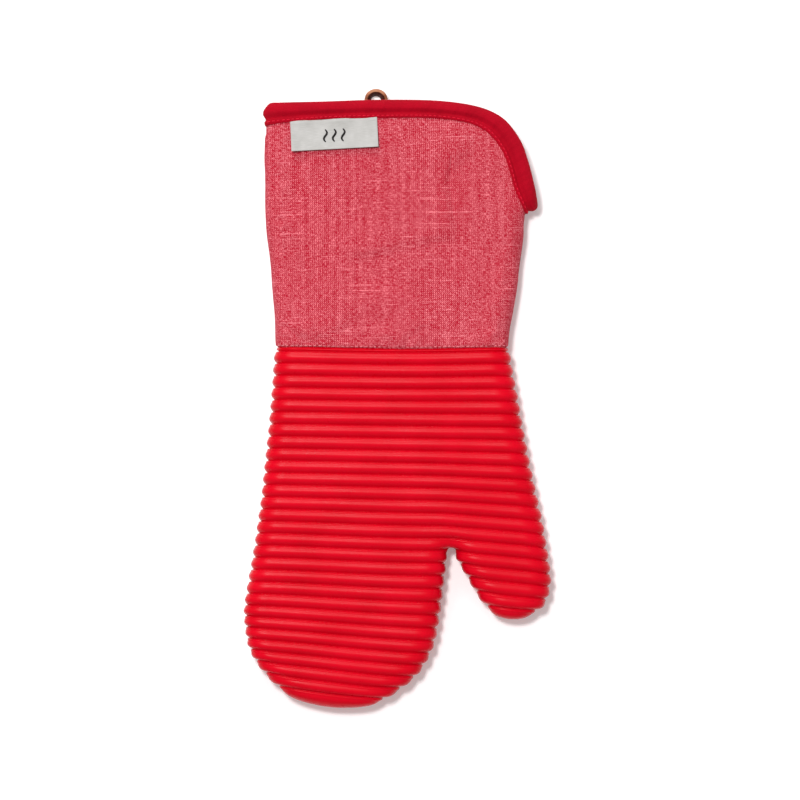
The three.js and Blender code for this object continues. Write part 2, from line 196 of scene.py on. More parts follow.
def row_drop(x, row):
    """How far a rib has dropped at x, compared with its left end."""
    r = np.maximum(row, 0)
    slope = HAND_LEAN * rise(r, *HAND_LEAN_ROWS) + TIP_LEAN * rise(r, *TIP_LEAN_ROWS)
    past = x - THUMB_LEAN_FROM_X
    past = (past + np.sqrt(past**2 + LEAN_KINK**2)) / 2
    lean = slope * (x - LEAN_FROM_X) + THUMB_LEAN * rise(r, *THUMB_LEAN_ROWS) * past
    middle = np.cos(np.clip((x - SAG_MIDDLE) / SAG_HALF_WIDTH, -1, 1) * math.pi / 2) ** 2
    sag = SAG["rim"] * np.exp(-((r / RIM_SAG_FADE) ** 2)) + SAG["palm"] * rise(r, *PALM_SAG_ROWS)
    return lean + SAG["everywhere"] + sag * middle + SAG["tip"] * rise(r, *TIP_SAG_ROWS)


def row_y(x, row):
    """The height of a row at x."""
    return RIB_TOP - RIB_PITCH * row - row_drop(x, row)


def row_of(x, y):
    """The row through a point, found by repeated correction."""
    row = (RIB_TOP - y) / RIB_PITCH
    for _ in range(12):
        row = (RIB_TOP - y - row_drop(x, row)) / RIB_PITCH
    return row


def side_tables(outline):
    """The outline's two sides, each as (rows, points) in order of rows, and its tip."""
    rows = row_of(outline[:, 0], outline[:, 1])
    tip = int(rows.argmax())
    near = (rows[: tip + 1], outline[: tip + 1])
    far = (rows[tip:][::-1], outline[tip:][::-1])
    return near, far, (rows[tip], outline[tip])


FINGER_OUTLINE = spline([*LEFT_SIDE, *FINGER_SIDE], 10)
THUMB_OUTLINE = spline([*THUMB_SIDE, *RIGHT_SIDE], 10)
CROTCH_ROW = float(row_of(*CROTCH))


def at_rows(table, rows):
    """The points of one side of an outline at the given rows."""
    known, points = table
    known = np.maximum.accumulate(known + np.arange(len(known)) * 1e-9)
    return np.stack([np.interp(rows, known, points[:, k]) for k in (0, 1)], axis=1)


def nearest_edge(x, y):
    """For each point, its distance inside the outline and the direction out towards it."""
    segments = [(o[:-1], np.diff(o, axis=0)) for o in (FINGER_OUTLINE, THUMB_OUTLINE)]
    start = np.vstack([s for s, _ in segments])
    run = np.vstack([d for _, d in segments])
    square = (run**2).sum(1)
    normal = np.stack([run[:, 1], -run[:, 0]], axis=1) / np.sqrt(square)[:, None]
    points = np.stack([x.ravel(), y.ravel()], axis=1)
    distance = np.empty(len(points))
    out = np.empty((len(points), 2))
    for low in range(0, len(points), POINTS_AT_ONCE):
        part = slice(low, low + POINTS_AT_ONCE)
        p = points[part, None, :] - start[None]
        along = np.clip((p * run).sum(2) / square, 0, 1)
        gap = along[..., None] * run - p
        far = (gap**2).sum(2)
        best = far.argmin(1)
        pick = np.arange(len(best))
        d = np.sqrt(far[pick, best])
        away = gap[pick, best] / np.maximum(d, 1e-9)[:, None]
        inside = (away * normal[best]).sum(1) > 0
        distance[part] = np.where(inside, d, 0)
        out[part] = np.where(((d > 1e-3) & inside)[:, None], away, normal[best])
    return distance.reshape(x.shape), out.reshape(*x.shape, 2)


def skin(x, y, side, inset):
    """Points of the front (side 1) or back (side -1) of the skin, moved in by inset."""
    x, y = np.broadcast_arrays(np.asarray(x, float), np.asarray(y, float))
    distance, out = nearest_edge(x, y)
    c = 1 - np.minimum(distance / EDGE_ROUND, 1)
    s = (1 - c**EDGE_POWER) ** (1 / EDGE_POWER)
    half = ramp(y, *THINNER, HAND_HALF, CUFF_HALF)
    middle = half + ramp(y, *LIFTED, 0, CUFF_LIFT)
    flat = c ** (EDGE_POWER - 1) / EDGE_ROUND
    upright = s ** (EDGE_POWER - 1) / half
    normal = np.stack([out[..., 0] * flat, out[..., 1] * flat, side * upright], -1)
    normal /= np.linalg.norm(normal, axis=-1, keepdims=True)
    surface = np.stack([x, y, middle + side * half * s], -1)
    return surface - normal * np.broadcast_to(inset, x.shape)[..., None]


def ripple(x, y, waves):
    """A smooth field of a few crossed waves: each is (height, wavelength, heading, phase)."""
    total = np.zeros(np.broadcast(x, y).shape)
    for height, length, heading, phase in waves:
        turn = math.radians(heading)
        total += height * np.sin(2 * math.pi * (x * math.cos(turn) + y * math.sin(turn)) / length + phase)
    return total


# ---------------------------------------------------------------- meshes

def make_mesh(name, points, faces, material, uv=None):
    """A smooth mesh object from points in millimetres. uv is one pair for each point, in metres."""
    data = bpy.data.meshes.new(name)
    data.from_pydata((np.asarray(points) * MM).tolist(), [], [tuple(int(i) for i in f) for f in faces])
    if uv is not None:
        layer = data.uv_layers.new(name="cloth")
        corner = np.zeros(len(data.loops), np.int32)
        data.loops.foreach_get("vertex_index", corner)
        layer.data.foreach_set("uv", np.asarray(uv, np.float32)[corner].ravel())
    data.polygons.foreach_set("use_smooth", np.ones(len(data.polygons), bool))
    data.materials.append(material)
    data.update()
    piece = bpy.data.objects.new(name, data)
    bpy.context.scene.collection.objects.link(piece)
    return piece


def grid_faces(rows, columns, flip=False, closed=False):
    """Quads over a grid of points numbered along its rows. closed joins the last column to the first."""
    i, j = np.meshgrid(np.arange(rows - 1), np.arange(columns if closed else columns - 1), indexing="ij")
    k = (j + 1) % columns
    quads = np.stack([i * columns + j, (i + 1) * columns + j, (i + 1) * columns + k, i * columns + k], -1)
    quads = quads.reshape(-1, 4)
    return quads[:, ::-1] if flip else quads


def merge(points, faces, uv=None, within=1e-3):
    """Joins points that lie in one place, and drops faces that this leaves with no area."""
    keys = np.round(np.asarray(points) / within).astype(np.int64)
    _, keep, back = np.unique(keys, axis=0, return_index=True, return_inverse=True)
    merged = []
    for face in back.ravel()[np.asarray(faces)]:
        ring = [int(v) for v, w in zip(face, np.roll(face, 1)) if v != w]
        if len(set(ring)) > 2:
            merged.append(ring)
    used = np.unique(np.concatenate(merged))
    renumber = np.zeros(len(keep), int)
    renumber[used] = np.arange(len(used))
    merged = [[int(renumber[v]) for v in ring] for ring in merged]
    points = np.asarray(points)[keep][used]
    return (points, merged, np.asarray(uv)[keep][used]) if uv is not None else (points, merged)


def panel_grid(panel, rows, columns):
    """Plan places of a grid over panel "A" or "B", as x, y and row, each rows by columns."""
    near, far, (tip_row, tip) = side_tables(FINGER_OUTLINE if panel == "A" else THUMB_OUTLINE)
    rows = np.append(rows[rows < tip_row - 0.01], tip_row)
    seam = np.stack([np.full(len(rows), CROTCH[0]), row_y(CROTCH[0], rows)], 1)
    above = (rows <= CROTCH_ROW)[:, None]
    left = at_rows(near, rows) if panel == "A" else np.where(above, seam, at_rows(near, rows))
    right = at_rows(far, rows) if panel == "B" else np.where(above, seam, at_rows(far, rows))
    share = (1 - np.cos(np.pi * np.linspace(0, 1, columns))) / 2
    x = left[:, :1] + (right[:, :1] - left[:, :1]) * share
    y = row_y(x, rows[:, None])
    y[:, 0], y[:, -1] = left[:, 1], right[:, 1]
    x[-1], y[-1] = tip
    return x, y, np.broadcast_to(rows[:, None], x.shape)


def tube(path, radius, sides=8):
    """Points and faces of a closed round thread along a path, thinner at its ends."""
    path = np.asarray(path, float)
    along = np.gradient(path, axis=0)
    along /= np.linalg.norm(along, axis=1, keepdims=True)
    across = np.cross(along, [0, 0, 1])
    across /= np.maximum(np.linalg.norm(across, axis=1, keepdims=True), 1e-9)
    up = np.cross(across, along)
    turn = 2 * math.pi * np.arange(sides) / sides
    thick = np.broadcast_to(np.asarray(radius, float), (len(path),))[:, None, None]
    ring = across[:, None] * np.cos(turn)[None, :, None] + up[:, None] * np.sin(turn)[None, :, None]
    points = (path[:, None] + ring * thick).reshape(-1, 3)
    faces = [list(f) for f in grid_faces(len(path), sides, closed=True)]
    faces.append(list(range(sides)))
    faces.append([len(points) - 1 - i for i in range(sides)])
    return points, faces


def join(parts):
    """Several (points, faces) as one."""
    points, faces, count = [], [], 0
    for p, f in parts:
        points.append(p)
        faces += [[int(i) + count for i in face] for face in f]
        count += len(p)
    return np.vstack(points), faces


def thicken(piece, thickness):
    """Gives a sheet a thickness in millimetres, to the inside of its faces."""
    solidify = piece.modifiers.new("thickness", "SOLIDIFY")
    solidify.thickness = thickness * MM
    solidify.offset = -1


def round_edges(piece, width, segments):
    """Rounds a piece's sharp edges, by a width in millimetres."""
    bevel = piece.modifiers.new("edges", "BEVEL")
    bevel.width = width * MM
    bevel.segments = segments


# ---------------------------------------------------------------- materials

FLOOR_GLOW = 0.18
THREAD_PAIR = 0.00109  # pitch of the chambray's threads, two at a time, in metres


class Shader:
    """A material's node tree, with short calls for the nodes used here."""

    def __init__(self, name):
        self.material = bpy.data.materials.new(name)
        self.material.use_nodes = True
        self.tree = self.material.node_tree
        self.surface = self.tree.nodes["Principled BSDF"]

    def node(self, kind, inputs=(), **settings):
        """A new node. Each input is a value, or another node's output."""
        made = self.tree.nodes.new(kind)
        for key, value in settings.items():
            setattr(made, key, value)
        for key, value in dict(inputs).items():
            if isinstance(value, bpy.types.NodeSocket):
                self.tree.links.new(value, made.inputs[key])
            else:
                made.inputs[key].default_value = value
        return made

    def set(self, **values):
        """Sets inputs of the surface, with _ for each space in a name."""
        for key, value in values.items():
            self.surface.inputs[key.replace("_", " ")].default_value = value

    def link(self, output, name):
        self.tree.links.new(output, self.surface.inputs[name])

    def math(self, operation, a, b=0.0):
        return self.node("ShaderNodeMath", {0: a, 1: b}, operation=operation).outputs[0]

    def mix(self, factor, a, b):
        made = self.node("ShaderNodeMix", {"Factor": factor}, data_type="RGBA")
        for socket, value in ((made.inputs[6], a), (made.inputs[7], b)):
            if isinstance(value, bpy.types.NodeSocket):
                self.tree.links.new(value, socket)
            else:
                socket.default_value = (*value, 1)
        return made.outputs[2]

    def total(self, *terms):
        """The sum of several values."""
        result = terms[0]
        for term in terms[1:]:
            result = self.math("ADD", result, term)
        return result

    def share(self, value, factor):
        return self.math("MULTIPLY", value, factor)

    def cloth_place(self, scale=(1, 1, 1)):
        """The place on the flat cloth, in metres times the scale."""
        uv = self.node("ShaderNodeUVMap", uv_map="cloth").outputs[0]
        return self.node("ShaderNodeMapping", {"Vector": uv, "Scale": scale}).outputs[0]

    def cloth_waves(self, warp_pitch, weft_pitch):
        """Waves from -1 to 1 across and along the cloth, one for each pair of threads."""
        uv = self.node("ShaderNodeUVMap", uv_map="cloth").outputs[0]
        place = self.node("ShaderNodeSeparateXYZ", {0: uv}).outputs
        waves = []
        for k, pitch in enumerate((warp_pitch, weft_pitch)):
            turn = self.share(place[k], 2 * math.pi / pitch)
            waves.append(self.math("SINE", turn))
        return waves

    def object_place(self):
        return self.node("ShaderNodeTexCoord").outputs["Object"]

    def noise(self, place, scale, detail=2.0, roughness=0.5):
        inputs = {"Vector": place, "Scale": scale, "Detail": detail, "Roughness": roughness}
        return self.node("ShaderNodeTexNoise", inputs).outputs[0]

    def cloth_noise(self, across, along, detail=2.0, roughness=0.5):
        """Noise on the flat cloth, with its own scale across and along."""
        return self.noise(self.cloth_place((across, along, 1)), 1, detail, roughness)

    def span(self, value, low, high, start=0.0, stop=1.0):
        """start where the value is low, stop where it is high."""
        inputs = {0: value, 1: low, 2: high, 3: start, 4: stop}
        return self.node("ShaderNodeMapRange", inputs).outputs[0]

    def bump(self, height, distance, strength=1.0):
        inputs = {"Height": height, "Distance": distance, "Strength": strength}
        self.link(self.node("ShaderNodeBump", inputs).outputs[0], "Normal")


def linear(red, green, blue):
    """A colour given as 0 to 255, for a shader."""
    values = np.array([red, green, blue]) / 255
    curved = ((values + 0.055) / 1.055) ** 2.4
    return tuple(np.where(values > 0.04045, curved, values / 12.92).tolist())


def silicone_material():
    """Soft red rubber with a dull gloss. A little light passes through it."""
    s = Shader("silicone")
    place = s.object_place()
    cloud = s.noise(place, 60, 3)
    s.link(s.mix(s.span(cloud, 0.3, 0.7), linear(202, 1, 25), linear(211, 2, 30)), "Base Color")
    s.link(s.span(s.noise(place, 350, 2), 0.3, 0.7, 0.26, 0.34), "Roughness")
    s.set(IOR=1.41, Specular_IOR_Level=0.13)
    s.set(Subsurface_Weight=0.06, Subsurface_Radius=(0.004, 0.0006, 0.0006), Subsurface_Scale=0.5)
    s.bump(s.noise(place, 2500, 2), 0.00002, 0.4)
    return s.material


def chambray_material():
    """Red warp and pale weft in a fine plain weave, with thick places in both threads."""
    s = Shader("chambray")
    across, along = s.cloth_waves(THREAD_PAIR, THREAD_PAIR)
    weave = s.share(across, along)
    grain = s.cloth_noise(2900, 2900, 1, 0.6)
    weft = s.cloth_noise(420, 2300, 1)
    pale = s.total(
        s.span(grain, 0.3, 0.7, -0.36, 0.62),
        s.span(s.cloth_noise(2300, 700, 1), 0.3, 0.7, 0.34, -0.34),  # single warp threads
        s.span(weft, 0.3, 0.7, -0.24, 0.24),
        s.span(s.cloth_noise(4200, 4200, 2, 0.6), 0.3, 0.7, -0.08, 0.08),  # fibres
        s.span(s.cloth_noise(210, 170), 0.3, 0.7, -0.08, 0.08),  # patches
        s.span(s.cloth_noise(380, 14), 0.35, 0.65, 0.09, -0.09),  # long bands of warp
        s.share(across, 0.17),
        s.share(weave, 0.32),
        s.span(s.cloth_noise(90, 1500, 1), 0.67, 0.73, 0.0, 0.5),  # slubs
        s.span(s.cloth_noise(22, 1300, 1), 0.68, 0.73, 0.0, 0.5),  # long slubs
    )
    pale = s.node("ShaderNodeClamp", {0: pale}).outputs[0]
    s.link(s.mix(pale, linear(174, 8, 38), linear(251, 150, 160)), "Base Color")
    s.set(Roughness=0.9, Specular_IOR_Level=0.1)
    threads = s.math("ADD", grain, weft)
    s.bump(s.math("ADD", s.share(weave, 0.12), s.share(threads, 0.5)), 0.0005, 0.9)
    return s.material


def twill_material(name, color, shade):
    """A fine diagonal twill for tape."""
    s = Shader(name)
    twill = s.node(
        "ShaderNodeTexWave",
        {"Vector": s.cloth_place(), "Scale": 900, "Distortion": 3.5, "Detail": 1},
        bands_direction="DIAGONAL",
    ).outputs["Fac"]
    fuzz = s.cloth_noise(1400, 1400, 3)
    cloud = s.cloth_noise(60, 120)
    tone = s.total(s.share(twill, 0.06), s.share(fuzz, 0.5), s.share(cloud, 0.45))
    s.link(s.mix(s.span(tone, 0.3, 0.8), shade, color), "Base Color")
    s.set(Roughness=0.85, Specular_IOR_Level=0.1)
    s.bump(s.total(s.share(twill, 0.4), fuzz), 0.00012, 0.5)
    return s.material


def thread_material(name, color, shade):
    """A twisted sewing thread."""
    s = Shader(name)
    ply = s.noise(s.object_place(), 3000, 2)
    s.link(s.mix(s.span(ply, 0.35, 0.65), shade, color), "Base Color")
    s.set(Roughness=0.6, Specular_IOR_Level=0.2)
    s.bump(ply, 0.00008, 0.6)
    return s.material


def felt_material(name, color, shade, scale=900):
    """Loose matt fibres."""
    s = Shader(name)
    fibre = s.noise(s.object_place(), scale, 4, 0.65)
    cloud = s.noise(s.object_place(), 70, 2)
    tone = s.total(s.share(fibre, 0.7), s.share(cloud, 0.3))
    s.link(s.mix(s.span(tone, 0.35, 0.65), shade, color), "Base Color")
    s.set(Roughness=0.97, Sheen_Weight=0.2)
    s.bump(fibre, 0.0004, 0.7)
    return s.material


def leather_material(name, color, shade):
    """Grained leather with a slight gloss."""
    s = Shader(name)
    inputs = {"Vector": s.object_place(), "Scale": 1400}
    grain = s.node("ShaderNodeTexVoronoi", inputs).outputs["Distance"]
    cloud = s.noise(s.object_place(), 220, 4)
    s.link(s.mix(s.span(cloud, 0.35, 0.65), shade, color), "Base Color")
    s.link(s.span(cloud, 0.3, 0.7, 0.5, 0.65), "Roughness")
    s.bump(grain, 0.00012, 0.5)
    return s.material


def label_material():
    """Satin-woven label: fine weft lines with a slight gloss."""
    s = Shader("label_satin")
    weft = s.cloth_noise(260, 3800)
    cloud = s.cloth_noise(120, 90)
    tone = s.total(s.share(weft, 0.5), s.share(cloud, 0.5))
    s.link(s.mix(s.span(tone, 0.35, 0.65), linear(158, 156, 152), linear(178, 176, 173)), "Base Color")
    s.set(Roughness=0.45, Specular_IOR_Level=0.3)
    s.bump(weft, 0.00006, 0.5)
    return s.material


def floor_material():
    """White paper that glows a little, so that it photographs as pure white."""
    s = Shader("floor_white")
    s.set(Base_Color=(0.88, 0.88, 0.88, 1), Roughness=0.95, Specular_IOR_Level=0.05)
    s.set(Emission_Color=(1, 1, 1, 1), Emission_Strength=FLOOR_GLOW)
    return s.material


SILICONE = silicone_material()
CHAMBRAY = chambray_material()
TAPE = twill_material("binding_twill", linear(186, 4, 34), linear(148, 1, 22))
TAPE_THREAD = thread_material("binding_thread", linear(226, 20, 54), linear(196, 8, 38))
HEM_THREAD = thread_material("hem_thread", linear(236, 150, 156), linear(216, 96, 110))
FELT = felt_material("felt_wadding", linear(232, 228, 220), linear(212, 206, 196))
COTTON = felt_material("cotton_lining", linear(226, 222, 214), linear(206, 200, 190), 1600)
LEATHER_EDGE = leather_material("leather_edge", linear(196, 136, 100), linear(168, 108, 76))
# The dark brown of the hang loop's faces is painted shade, the shade inside the loop
LEATHER_FACE_PAINTED_SHADE = leather_material("leather_face_painted_shade", linear(92, 42, 26), linear(70, 28, 18))
SATIN = label_material()
INK = thread_material("motif_thread", linear(34, 32, 32), linear(22, 20, 20))


def finish_piece(piece, slot_name, *nodes):
    """Hides the nodes of the CAD model that the piece takes the place of. The piece and slot_name are not
    used.
    """
    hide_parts(*nodes)


def bend(piece):
    """Bakes the piece's transform into its mesh."""
    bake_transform(piece)


# ---------------------------------------------------------------- the silicone hand

# One rib from groove to groove, as (share of the pitch, share of the depth): a fine upper edge and a crown
RIB_PROFILE = [
    (0, 0), (0.03, 0.3), (0.06, 0.5), (0.09, 0.6), (0.12, 0.64), (0.16, 0.65), (0.2, 0.665), (0.25, 0.72),
    (0.3, 0.805), (0.35, 0.875), (0.4, 0.925), (0.45, 0.965), (0.5, 0.99), (0.55, 1.0), (0.61, 0.98),
    (0.68, 0.91), (0.77, 0.73), (0.86, 0.47), (0.93, 0.22), (0.98, 0.05), (1, 0),
]
CROWN = 0.55  # phase of a rib's crown
LAST_RIB = 0.5  # a rib at the tip that is shorter than this joins the one above it
RIM_PROFILE = [  # (row, inset) down the rim from its inside, over its bead, to the first groove
    (-0.28, 2.9), (-0.36, 2.6), (-0.38, 2.1), (-0.35, 1.8), (-0.3, 1.65), (-0.25, 1.4), (-0.21, 1.15),
    (-0.17, 1.1), (-0.13, 1.25), (-0.1, 1.6), (-0.05, 2.05), (-0.02, 2.15),
]
HAND_INSET = 0.25  # the crowns lie this far below the skin
# Each wave as (height, wavelength, heading, phase)
HAND_WAVES = [(0.09, 46, 20, 0.4), (0.07, 31, -65, 1.9), (0.05, 23, 80, 4.0)]
# name, panel, columns, a body, its joint, and the nodes that it replaces
HAND_PIECES = [
    (
        "silicone_hand", "A", 130, "fingers", KNUCKLE,
        ("silicone_palm", "silicone_knuckle_zone", "silicone_fingers"),
    ),
    ("silicone_thumb_side", "B", 70, "thumb", THUMB_FOLD, ("silicone_thumb_zone", "silicone_thumb")),
]


def rib_inset(row, tip_row):
    """Depth below the crowns."""
    phases, heights = np.array(RIB_PROFILE).T
    last = np.floor(tip_row) if tip_row % 1 < LAST_RIB else np.ceil(tip_row)
    row = np.minimum(row, last - 1 + CROWN)
    return RIB_DEPTH * (1 - np.interp(row - np.floor(row), phases, heights))


def silicone_rows(panel):
    """The rows that a panel is meshed in, from the first groove to its tip."""
    tip_row = side_tables(FINGER_OUTLINE if panel == "A" else THUMB_OUTLINE)[2][0]
    phases = np.array(RIB_PROFILE)[:-1, 0]
    ribs = np.concatenate([rib + phases for rib in range(int(tip_row) + 1)])
    return np.sort(np.append(ribs, CROTCH_ROW))


def silicone_panel(panel, columns):
    """Ribbed skin with its rim, as points and faces."""
    rim_rows, rim_insets = np.array(RIM_PROFILE).T
    x, y, row = panel_grid(panel, silicone_rows(panel), columns)
    lip_x = np.repeat(x[:1], len(rim_rows), axis=0)
    lip_y = y[:1] - rim_rows[:, None] * RIB_PITCH
    parts = []
    for side in (1, -1):
        wave = ripple(x, y, HAND_WAVES) * (side > 0)
        ribs = skin(x, y, side, rib_inset(row, row.max()) + HAND_INSET - wave)
        lip = skin(lip_x, lip_y, side, rim_insets[:, None] + HAND_INSET - wave[:1])
        sheet = np.concatenate([lip, ribs])
        parts.append((sheet.reshape(-1, 3), grid_faces(*sheet.shape[:2], flip=side < 0)))
    return merge(*join(parts))


def silicone_hand():
    """The ribbed moulding, in two pieces that share the column above the crotch."""
    for name, panel, columns, body, joint, nodes in HAND_PIECES:
        points, faces = silicone_panel(panel, columns)
        piece = make_mesh(name, points, faces, SILICONE)
        bend(piece)
        finish_piece(piece, "silicone", *nodes)


silicone_hand()

# ---------------------------------------------------------------- the cuff

# Each wave as (height, wavelength, heading, phase)
CUFF_WAVES = [(0.2, 58, 12, 0.9), (0.16, 37, 75, 2.2), (0.12, 27, -38, 4.1), (0.08, 18, 50, 1.3)]
CUFF_ROWS = np.concatenate([np.linspace(-24, -0.7, 150), np.linspace(-0.66, 0.5, 14)])
SETTLE_ROWS = np.linspace(-24, 0.5, 62)
SETTLE_COLUMNS = {"A": 34, "B": 16}
SETTLE_FRAMES = 20
SETTLE_MOST = {1: 1.2, -1: 0.5}  # how far the front and the back may swell, in millimetres
SETTLE_RANGE = (-0.4, 1.5)  # the swelling that is taken over from the simulation
CLOTH_SETTINGS = {
    "vertex_group_mass": "pins", "quality": 7, "mass": 0.3, "tension_stiffness": 12,
    "compression_stiffness": 12, "bending_stiffness": 0.3, "shrink_min": -0.025,
    "use_pressure": True, "uniform_pressure_force": 1.5,
}
TAPE_COVERS = 9  # how far from the mouth's edge the binding covers the cloth
CUFF_COLUMNS = {"A": 110, "B": 44}
CLOTH_THICKNESS = 0.5
CLOTH_INSET = 0.15
TUCK_DEPTH = 2.4  # how deep the cloth dives under the silicone's rim
TAPE_SINK = 0.7  # how deep the binding presses it in
BACK_WAVES = 0.3  # the back's waves as a share of the front's
FLOOR_GAP = 0.05  # the least inset of the back, which lies on the floor
# Small folds along a seam
TAPE_PUCKERS = {"height": 0.22, "fade": 6, "pitch": 1.15, "drift": 2, "drift_pitch": 11}
HEM_PUCKERS = {"height": 0.25, "fade": 9, "pitch": 1.5, "drift": 1.6, "drift_pitch": 8}


def cuff_grid(panel, rows, columns):
    """Plan places over a panel's cuff, without the tip that ends a whole panel."""
    x, y, _ = panel_grid(panel, rows, columns)
    return x[:-1], y[:-1]


def inside_mouth(x, y):
    """How far a point lies below the binding's outer edge, in plan."""
    edge = even(spline(TAPE_EDGE, 8), 160)
    gap = np.stack([x.ravel(), y.ravel()], 1)[:, None] - edge[None]
    best = (gap**2).sum(2).argmin(1)
    run = np.gradient(edge, axis=0)[best]
    run /= np.linalg.norm(run, axis=1, keepdims=True)
    near = gap[np.arange(len(best)), best]
    return (near[:, 0] * run[:, 1] - near[:, 1] * run[:, 0]).reshape(x.shape)


def cut_at_mouth(x, y, faces):
    """The faces of a grid that are left when it is cut off under the binding."""
    keep = inside_mouth(x, y) > MOUTH_CUT
    return faces[keep.ravel()[faces].all(1)]


def hem_y(x):
    """The upper edge of the silicone's rim."""
    return RIM_Y - row_drop(x, 0)


def simulated(points, faces, held):
    """Where a sheet of cloth comes to rest when its padding pushes it out. held is 1 at fixed points."""
    sheet = make_mesh("settling_cloth", points, faces, CHAMBRAY)
    pins = sheet.vertex_groups.new(name="pins")
    for i, weight in enumerate(held.ravel()):
        pins.add([i], float(weight), "REPLACE")
    cloth = sheet.modifiers.new("cloth", "CLOTH")
    for setting, value in CLOTH_SETTINGS.items():
        setattr(cloth.settings, setting, value)
    cloth.settings.effector_weights.gravity = 0
    cloth.collision_settings.use_collision = False
    for step in range(1, SETTLE_FRAMES + 1):
        bpy.context.scene.frame_set(step)
    rested = sheet.evaluated_get(bpy.context.evaluated_depsgraph_get()).data
    places = np.empty(len(rested.vertices) * 3)
    rested.vertices.foreach_get("co", places)
    data = sheet.data
    bpy.data.objects.remove(sheet)
    bpy.data.meshes.remove(data)
    bpy.context.scene.frame_set(1)
    return places.reshape(points.shape) / MM


def settled(side):
    """How far the cloth of one side swells, for each panel on a coarse grid, in millimetres."""
    (x_a, y_a), (x_b, y_b) = (
        cuff_grid(panel, SETTLE_ROWS, count) for panel, count in SETTLE_COLUMNS.items()
    )
    x = np.hstack([x_a, x_b[:, 1:]])
    y = np.hstack([y_a, y_b[:, 1:]])
    edge = nearest_edge(x, y)[0]
    below_mouth = inside_mouth(x, y)
    free = rise(below_mouth, TAPE_COVERS, 3) * rise(y, hem_y(x), 3) * rise(edge, 4, 4)
    start = skin(x, y, side, 0)
    inwards = skin(x, y, side, 1) - start
    faces = grid_faces(*x.shape, flip=side < 0)
    rest = simulated(start.reshape(-1, 3), faces, 1 - free).reshape(start.shape)
    swell = np.clip(-((rest - start) * inwards).sum(-1), *SETTLE_RANGE)
    swell *= SETTLE_MOST[side] / SETTLE_RANGE[1] * rise(below_mouth, TAPE_COVERS, 22)
    seam = SETTLE_COLUMNS["A"]
    return {"A": swell[:, :seam], "B": swell[:, seam - 1 :]}


def between_rows(coarse, rows, columns):
    """A field on the settling grid, at other rows and at another number of columns."""
    known = np.linspace(0, 1, coarse.shape[1])
    wide = np.stack([np.interp(np.linspace(0, 1, columns), known, line) for line in coarse])
    return np.stack([np.interp(rows, SETTLE_ROWS, line) for line in wide.T], 1)


def puckers(x, away, height, fade, pitch, drift, drift_pitch):
    """Small uneven folds, which fade with the distance away from their seam."""
    return height * np.exp(-away / fade) * np.sin(x / pitch + drift * np.sin(x / drift_pitch))


def cloth_inset(x, y, side):
    """The cloth lies on the skin, puckered along the binding and tucked under the silicone's rim."""
    below_mouth = inside_mouth(x, y)
    below_tape = np.maximum(below_mouth - TAPE_COVERS, 0)
    above_hem = np.maximum(y - hem_y(x), 0)
    pucker = puckers(x, below_tape, **TAPE_PUCKERS)
    gather = puckers(x, above_hem, **HEM_PUCKERS)
    tuck = TUCK_DEPTH * (1 - smooth((y - hem_y(x) + 1.2) / 1.8)) + 0.5 * np.exp(-above_hem / 2.5)
    wave = ripple(x, y, CUFF_WAVES) * (1 if side > 0 else BACK_WAVES) * smooth(below_tape / 8)
    under_tape = TAPE_SINK * (1 - rise(below_mouth, 7.5, 2))
    return tuck - pucker - gather - wave + under_tape + CLOTH_INSET


def girth(x, y, seam):
    """How far round the cuff each point lies, measured from the panels' shared column."""
    steps = np.linalg.norm(np.diff(skin(x, y, 1, 0)[..., ::2], axis=1), axis=-1)
    run = np.pad(steps.cumsum(1), ((0, 0), (1, 0)))
    return run + (x - run)[:, seam][:, None]


def cuff_cloth():
    """Front and back cloth of the cuff in one mesh, sewn at its sides and cut off under the binding."""
    parts, uv = [], []
    swell = {side: settled(side) for side in (1, -1)}
    for panel, columns in CUFF_COLUMNS.items():
        x, y = cuff_grid(panel, CUFF_ROWS, columns)
        place = np.stack([girth(x, y, -1 if panel == "A" else 0).ravel(), y.ravel()], 1) * MM
        for side in (1, -1):
            inset = cloth_inset(x, y, side) - between_rows(swell[side][panel], CUFF_ROWS, columns)
            if side < 0:
                inset = np.maximum(inset, FLOOR_GAP - ramp(y, *LIFTED, 0, CUFF_LIFT))
            points = skin(x, y, side, inset).reshape(-1, 3)
            parts.append((points, cut_at_mouth(x, y, grid_faces(*x.shape, flip=side < 0))))
            uv.append(place)
    points, faces, uv = merge(*join(parts), np.vstack(uv))
    cloth = make_mesh("cuff_cloth", points, faces, CHAMBRAY, uv)
    thicken(cloth, CLOTH_THICKNESS)
    bend(cloth)
    finish_piece(
        cloth, "chambray", "cuff_front_panel", "cuff_back_panel",
        "cuff_front_wrist_zone", "cuff_back_wrist_zone",
    )


cuff_cloth()

# ---------------------------------------------------------------- the binding

STITCH_T = 0.87  # place of the stitching between the fold and the tape's hem
ROLL = 0.35  # how far the front leg's crown stands proud
FOLD_T = 0.42  # how far the round fold reaches
TAPE_MIDDLE = (TAPE_INNER + TAPE_OUTER) / 2
TAPE_CURVE_POINTS = 400
TAPE_POINTS = 420  # along the mouth
TAPE_WIDTH = 10
TAPE_LENGTH = 0.2  # from end to end of one side, in metres
# Hollows and rolls of a leg, as (depth, start, length): it sinks beyond the fold, rises again towards
# the stitching, and is rounded off at its hem
TAPE_HOLLOW = (1.25, 0.44, 0.3)
TAPE_RETURN = (0.85, 0.73, 0.11)
TAPE_HEM_ROUND = (0.3, 0.93, 0.07)


def leg_step(t, depth, start, length):
    """One change of a leg's inset from its fold to its hem."""
    return depth * rise(t, start, length)


